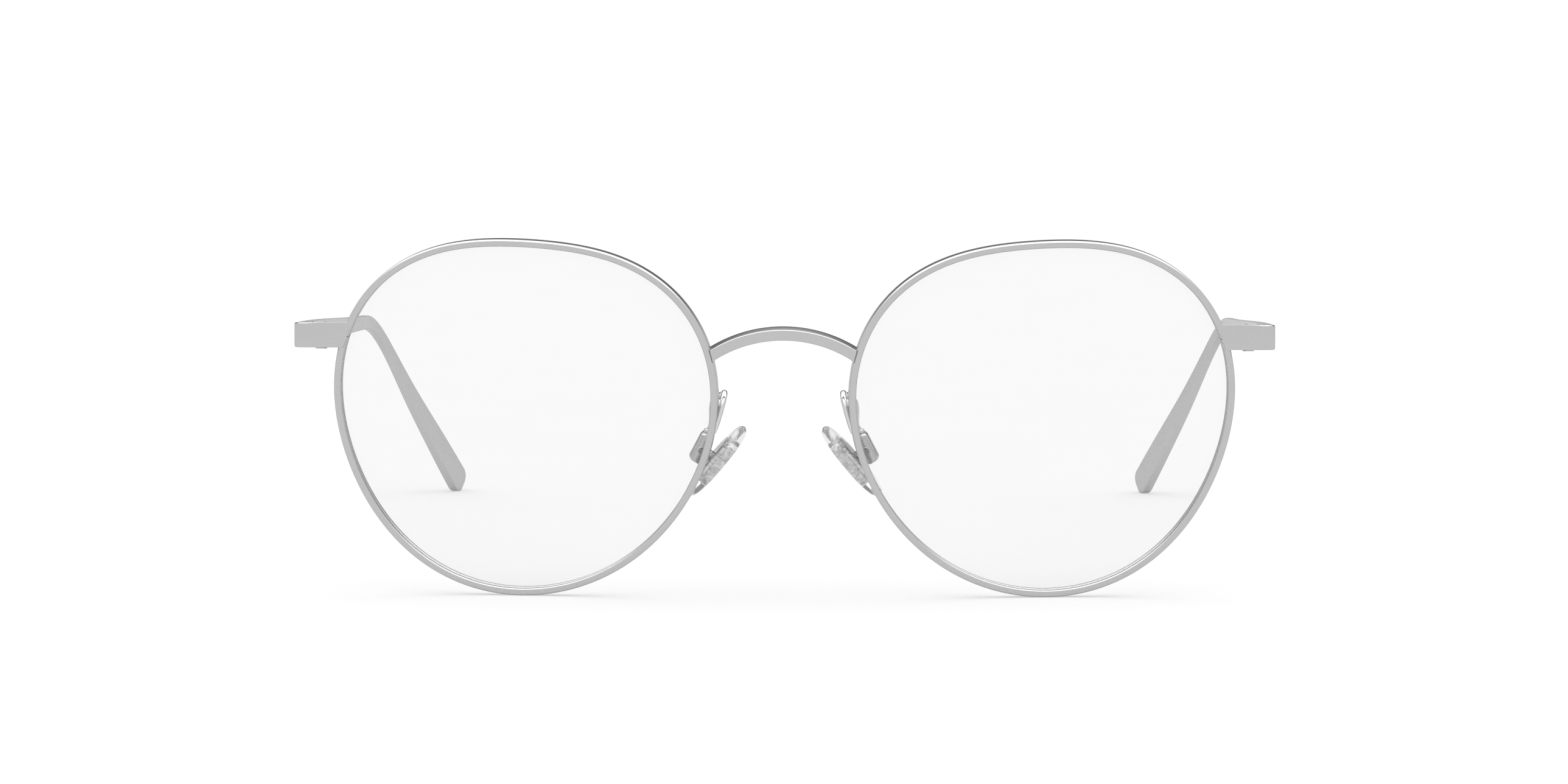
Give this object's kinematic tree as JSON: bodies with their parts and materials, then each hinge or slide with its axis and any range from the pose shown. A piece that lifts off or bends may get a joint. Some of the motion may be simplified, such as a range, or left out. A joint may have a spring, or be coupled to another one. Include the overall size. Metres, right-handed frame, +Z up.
{
  "type": "round wire eyeglasses",
  "caption": "Round thin metal eyeglasses with clear lenses, arched bridge, adjustable nose pads and folding temples.",
  "frame": {"origin": "on the table midway between the two temples and midway between the front and the temple tips, with the open glasses standing on their rims and temple tips", "axes": "+Z up from the table, +Y from the front towards the temple tips, +X towards the wearer's left"},
  "size_m": [0.131, 0.146, 0.048],
  "materials": {
    "satin_metal": "satin silver plating with a fine grain",
    "bright_metal": "polished silver plating",
    "screw_steel": "turned steel",
    "clear_lens": "clear, polished",
    "clear_pad": "clear soft silicone"
  },
  "bodies": {
    "front": {"rim_left": "satin_metal", "lens_left": "clear_lens", "end_piece_left": "satin_metal", "closing_block_upper_left": "satin_metal", "closing_block_lower_left": "satin_metal", "closing_screw_left": "screw_steel", "hinge_front_leaf_left": "bright_metal", "hinge_screw_left": "screw_steel", "pad_arm_left": "bright_metal", "pad_holder_left": "bright_metal", "pad_screw_left": "screw_steel", "rim_right": "satin_metal", "lens_right": "clear_lens", "end_piece_right": "satin_metal", "closing_block_upper_right": "satin_metal", "closing_block_lower_right": "satin_metal", "closing_screw_right": "screw_steel", "hinge_front_leaf_right": "bright_metal", "hinge_screw_right": "screw_steel", "pad_arm_right": "bright_metal", "pad_holder_right": "bright_metal", "pad_screw_right": "screw_steel", "bridge": "satin_metal"},
    "temple_left": {"temple_left": "satin_metal", "hinge_temple_leaf_left": "bright_metal"},
    "temple_right": {"temple_right": "satin_metal", "hinge_temple_leaf_right": "bright_metal"},
    "pad_left": {"nose_pad_left": "clear_pad", "pad_insert_left": "bright_metal"},
    "pad_right": {"nose_pad_right": "clear_pad", "pad_insert_right": "bright_metal"}
  },
  "joints": [
    {"name": "temple_left_fold", "type": "hinge", "parent": "front", "child": "temple_left", "pos_m": [0.06265, -0.06019, 0.03444], "axis": [0, 0.0545, 0.9985], "range_deg": [0, 88]},
    {"name": "temple_right_fold", "type": "hinge", "parent": "front", "child": "temple_right", "pos_m": [-0.06265, -0.06019, 0.03444], "axis": [0, -0.0545, -0.9985], "range_deg": [0, 74]},
    {"name": "pad_left_rock", "type": "hinge", "parent": "front", "child": "pad_left", "pos_m": [0.01096, -0.06512, 0.01949], "axis": [-0.0523, -0.9948, -0.0875], "range_deg": [-10, 10]},
    {"name": "pad_right_rock", "type": "hinge", "parent": "front", "child": "pad_right", "pos_m": [-0.01096, -0.06512, 0.01949], "axis": [-0.0523, 0.9948, 0.0875], "range_deg": [-10, 10]}
  ]
}
